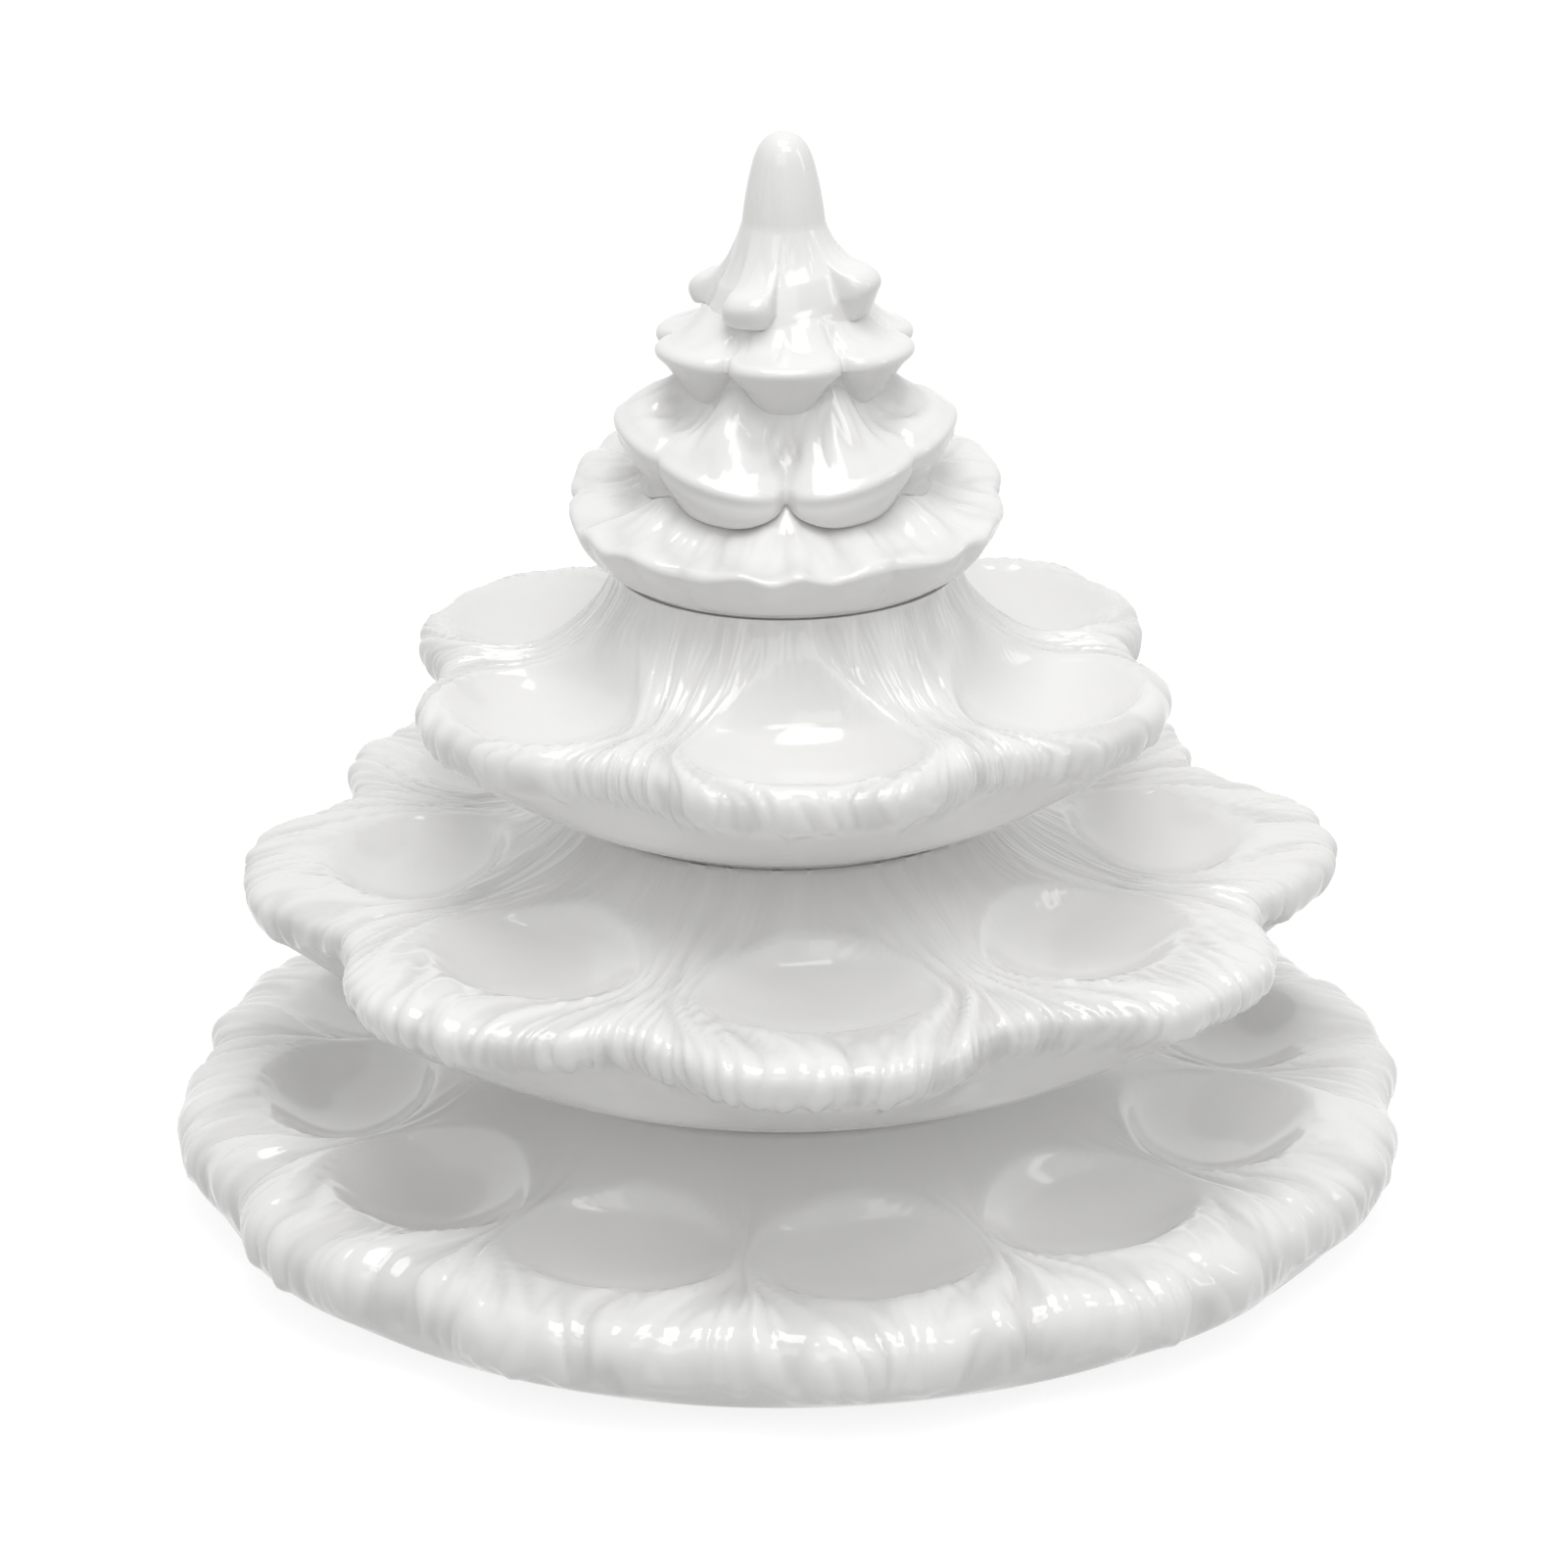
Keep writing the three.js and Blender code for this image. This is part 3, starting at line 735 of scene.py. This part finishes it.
def bough_relief(row):
    """Heights of a row's folds and pleats and the painted shade on its underside, from its waist up."""
    rows = np.arange(1, BOUGH_ROWS + 1)
    stops = (0, UNDER_ROWS / 2, UNDER_ROWS, BROW_ROW, BROW_ROW + FACE_ROWS / 2, BOUGH_ROWS)
    fold_lip, fold_face = row["folds"]
    folds = np.interp(rows, stops, (WAIST_FOLD, 0, fold_lip / 2, fold_lip, fold_face, WAIST_FOLD))
    pleat_lip, pleat_face = row["pleats"]
    pleats = np.interp(rows, stops, (0, 0, pleat_lip / 2, pleat_lip, pleat_face, 0))
    # Painted shade: the undersides get a lower relief, so the darker glaze tint shows there
    underside_shade = UNDERSIDE_SHADE * np.interp(rows, (UNDER_ROWS, BROW_ROW), (1, 0))
    return np.array((folds, pleats, underside_shade))


def topper_hollow():
    """Places down the inside of the topper to its foot."""
    foot_inside = TOPPER_FOOT_RADIUS - FOOT_WALL
    return [
        (CROWN["waist"][0] - WALL, CROWN["waist"][1]),
        (HIGH_ROW["waist"][0] - WALL, HIGH_ROW["waist"][1]),
        (LOW_ROW["tip"][0] - LOW_ROW["cleft"] - WALL, LOW_ROW["tip"][1]),
        (foot_inside, SPIGOT_HEIGHT + WALL),
        (foot_inside, FOOT_EDGE),
        (foot_inside + FOOT_EDGE, 0),
    ]


def spire_places():
    """Places up the spire and over its round top, short of its pole."""
    onward = (TOPPER_HEIGHT - SPIRE_TIP[1]) / (SPIRE_TIP[1] - SPIRE_BEND[1])
    dome_bend = np.array(SPIRE_TIP) + onward * (np.array(SPIRE_TIP) - np.array(SPIRE_BEND))
    return [
        *bend(SPIRE_FOOT, SPIRE_BEND, SPIRE_TIP, SPIRE_ROWS),
        *bend(SPIRE_TIP, dome_bend, (0, TOPPER_HEIGHT), DOME_ROWS)[:-1],
    ]


def make_topper(materials):
    turns = even_turns(TOPPER_COLUMNS)
    rows = (SKIRT, LOW_ROW, HIGH_ROW, CROWN, SPIRE)
    foot = [(TOPPER_FOOT_RADIUS - FOOT_EDGE, 0), SKIRT["waist"]]
    spire = spire_places()
    boughs = [bough_rings(row, above, turns) for row, above in zip(rows, rows[1:])]
    rings = [plain_rings(foot, TOPPER_COLUMNS), *boughs, plain_rings(spire, TOPPER_COLUMNS)]
    radius, height = (np.concatenate(values) for values in zip(*rings))

    reliefs = [bough_relief(row) for row in rows[:-1]]
    kinds = len(reliefs[0])
    spire_relief = np.zeros((kinds, len(spire)))
    spire_relief[0] = np.linspace(WAIST_FOLD, 0, len(spire))
    reliefs = np.concatenate((np.zeros((kinds, len(foot))), *reliefs, spire_relief), axis=1)
    fold_height, pleat_height, underside_shade = reliefs[..., None]

    outer = ring_points(radius, height, turns)
    path = path_length(outer)
    lane = turns / (2 * math.pi)
    relief = fold_height * ripples(lane * TOPPER_FOLDS, path, TOPPER_FOLDS, TOPPER_FOLD_SEED)
    relief += pleat_height * ripples(lane * TOPPER_PLEATS, path, TOPPER_PLEATS, TOPPER_PLEAT_SEED)
    outer += relief[..., None] * ring_normals(outer)
    hollow = round_points(topper_hollow(), turns)
    poles = (CROWN["tip"][1] + WALL, TOPPER_HEIGHT)
    # The relief that tints the glaze also carries the painted shade under the boughs
    glazed_piece("tree_topper", "topper", hollow, outer, relief + underside_shade, poles, materials)


def grey(level):
    return level, level, level, 1


def add_node(tree, kind, inputs):
    """A shader node with some of its inputs set."""
    node = tree.nodes.new(kind)
    for name, value in inputs.items():
        node.inputs[name].default_value = value
    return node


def add_noise(tree, inputs):
    """The level of a noise that is fixed to the object."""
    place = tree.nodes.new("ShaderNodeTexCoord")
    noise = add_node(tree, "ShaderNodeTexNoise", inputs)
    tree.links.new(place.outputs["Object"], noise.inputs["Vector"])
    return noise.outputs["Fac"]


def add_ramp(tree, level, stops):
    """A colour for each level, from one stop to the next."""
    ramp = tree.nodes.new("ShaderNodeValToRGB")
    for element, (position, color) in zip(ramp.color_ramp.elements, stops):
        element.position = position
        element.color = color
    tree.links.new(level, ramp.inputs["Fac"])
    return ramp.outputs["Color"]


def add_bump(tree, level, strength, depth):
    bump = add_node(tree, "ShaderNodeBump", {"Strength": strength, "Distance": depth})
    tree.links.new(level, bump.inputs["Height"])
    tree.links.new(bump.outputs["Normal"], tree.nodes["Principled BSDF"].inputs["Normal"])


def pool_and_shade_share(tree):
    """How much of the darker tint shows, partly pooled glaze and partly painted shade: most in the floor
    of the relief.
    """
    relief = tree.nodes.new("ShaderNodeAttribute")
    relief.attribute_name = "relief"
    levels = {"From Min": POOL_AND_SHADE_FLOOR, "From Max": POOL_AND_SHADE_EDGE, "To Min": POOL_AND_SHADE_SHARE, "To Max": 0}
    share = add_node(tree, "ShaderNodeMapRange", levels)
    tree.links.new(relief.outputs["Fac"], share.inputs["Value"])
    return share.outputs["Result"]


def glaze_material():
    """White glaze, brighter on the flutes and darker and warmer in the creases, partly from pooled glaze
    and partly as painted shade.
    """
    material = bpy.data.materials.new("white_glaze")
    material.use_nodes = True
    tree = material.node_tree
    shader = tree.nodes["Principled BSDF"]
    cloud = add_noise(tree, {"Scale": CLOUD_SCALE, "Detail": CLOUD_DETAIL})
    tint = tree.nodes.new("ShaderNodeMix")
    tint.data_type = "RGBA"
    tint.inputs["B"].default_value = POOL_AND_SHADE_TINT
    tree.links.new(pool_and_shade_share(tree), tint.inputs["Factor"])
    tree.links.new(add_ramp(tree, cloud, GLAZE_TINTS), tint.inputs["A"])
    tree.links.new(tint.outputs["Result"], shader.inputs["Base Color"])
    gloss = add_node(tree, "ShaderNodeMapRange", {"To Min": LEAST_ROUGHNESS, "To Max": MOST_ROUGHNESS})
    tree.links.new(cloud, gloss.inputs["Value"])
    tree.links.new(gloss.outputs["Result"], shader.inputs["Roughness"])
    add_bump(tree, add_noise(tree, {"Scale": RIPPLE_SCALE}), RIPPLE_STRENGTH, RIPPLE_DEPTH)
    shader.inputs["IOR"].default_value = GLAZE_IOR
    shader.inputs["Coat Weight"].default_value = COAT_WEIGHT
    shader.inputs["Coat Roughness"].default_value = COAT_ROUGHNESS
    return material


def clay_material():
    """The bare clay of a foot ring, wiped free of glaze."""
    material = bpy.data.materials.new("bare_clay")
    material.use_nodes = True
    tree = material.node_tree
    shader = tree.nodes["Principled BSDF"]
    grain = add_noise(tree, {"Scale": GRAIN_SCALE})
    tree.links.new(add_ramp(tree, grain, CLAY_TINTS), shader.inputs["Base Color"])
    add_bump(tree, grain, GRAIN_STRENGTH, GRAIN_DEPTH)
    shader.inputs["Roughness"].default_value = CLAY_ROUGHNESS
    return material


def either(tree, first, second):
    """1 where one of two numbers is 1."""
    greater = tree.nodes.new("ShaderNodeMath")
    greater.operation = "MAXIMUM"
    tree.links.new(first, greater.inputs[0])
    tree.links.new(second, greater.inputs[1])
    return greater.outputs["Value"]


def choose_by_ray(tree, lighting, seen, output):
    """One shader for light on other surfaces, and one for what the camera, a reflection or glass shows."""
    rays = tree.nodes.new("ShaderNodeLightPath").outputs
    direct = either(tree, rays["Is Camera Ray"], rays["Is Glossy Ray"])
    direct = either(tree, direct, rays["Is Transmission Ray"])
    choice = tree.nodes.new("ShaderNodeMixShader")
    share, first, second = choice.inputs
    tree.links.new(direct, share)
    tree.links.new(lighting, first)
    tree.links.new(seen, second)
    tree.links.new(choice.outputs["Shader"], tree.nodes[output].inputs["Surface"])


def make_world():
    """Even light on the object, in front of white."""
    world = bpy.data.worlds.new("studio")
    bpy.context.scene.world = world
    world.use_nodes = True
    tree = world.node_tree
    ambient = tree.nodes["Background"]
    ambient.inputs["Color"].default_value = grey(1)
    ambient.inputs["Strength"].default_value = AMBIENT
    backdrop = add_node(tree, "ShaderNodeBackground", {"Color": grey(1), "Strength": 1})
    choose_by_ray(tree, ambient.outputs["Background"], backdrop.outputs["Background"], "World Output")


def floor_material():
    """A pale floor that keeps a faint shadow where it is seen."""
    material = bpy.data.materials.new("pale_floor")
    material.use_nodes = True
    tree = material.node_tree
    lit = tree.nodes["Principled BSDF"]
    lit.inputs["Base Color"].default_value = grey(FLOOR_GREY)
    lit.inputs["Roughness"].default_value = FLOOR_ROUGHNESS
    lit.inputs["Specular IOR Level"].default_value = 0
    shadow = add_node(tree, "ShaderNodeBsdfDiffuse", {"Color": grey(FLOOR_SHADE)})
    glow = add_node(tree, "ShaderNodeEmission", {"Strength": 1 - FLOOR_SHADE * AMBIENT})
    seen = tree.nodes.new("ShaderNodeAddShader")
    first, second = seen.inputs
    tree.links.new(shadow.outputs["BSDF"], first)
    tree.links.new(glow.outputs["Emission"], second)
    choose_by_ray(tree, lit.outputs["BSDF"], seen.outputs["Shader"], "Material Output")
    return material


def make_floor():
    half = FLOOR_SIDE / 2
    corners = ((-half, -half), (half, -half), (half, half), (-half, half))
    mesh = bpy.data.meshes.new("floor")
    mesh.from_pydata([(x, y, -FLOOR_DROP) for x, y in corners], [], [range(len(corners))])
    mesh.materials.append(floor_material())
    floor = bpy.data.objects.new("floor", mesh)
    bpy.context.scene.collection.objects.link(floor)


def facing(place, aim):
    """The rotation of a lamp or camera that looks from a place to its aim."""
    return (Vector(aim) - Vector(place)).to_track_quat("-Z", "Y")


def add_softbox(name, place, aim, size, power):
    lamp = bpy.data.lights.new(name, "AREA")
    lamp.shape = "RECTANGLE"
    lamp.size, lamp.size_y = size
    lamp.energy = power
    holder = bpy.data.objects.new(name, lamp)
    holder.location = place
    holder.rotation_mode = "QUATERNION"
    holder.rotation_quaternion = facing(place, aim)
    bpy.context.scene.collection.objects.link(holder)


def make_camera():
    lens = bpy.data.cameras.new("camera")
    lens.sensor_width = CAMERA_SENSOR
    lens.lens = CAMERA_LENS
    camera = bpy.data.objects.new("camera", lens)
    camera.location = CAMERA_PLACE
    camera.rotation_mode = "QUATERNION"
    roll = Quaternion((0, 0, 1), math.radians(CAMERA_ROLL))
    camera.rotation_quaternion = facing(CAMERA_PLACE, CAMERA_AIM) @ roll
    bpy.context.scene.collection.objects.link(camera)
    bpy.context.scene.camera = camera


ceramic = (glaze_material(), clay_material())
for tier_name, tier_sizes in TIERS.items():
    make_tier(tier_name, tier_sizes, ceramic)
make_topper(ceramic)
make_world()
make_floor()
for softbox_name, softbox in SOFTBOXES.items():
    add_softbox(softbox_name, **softbox)
make_camera()
bpy.context.scene.view_settings.view_transform = "Standard"
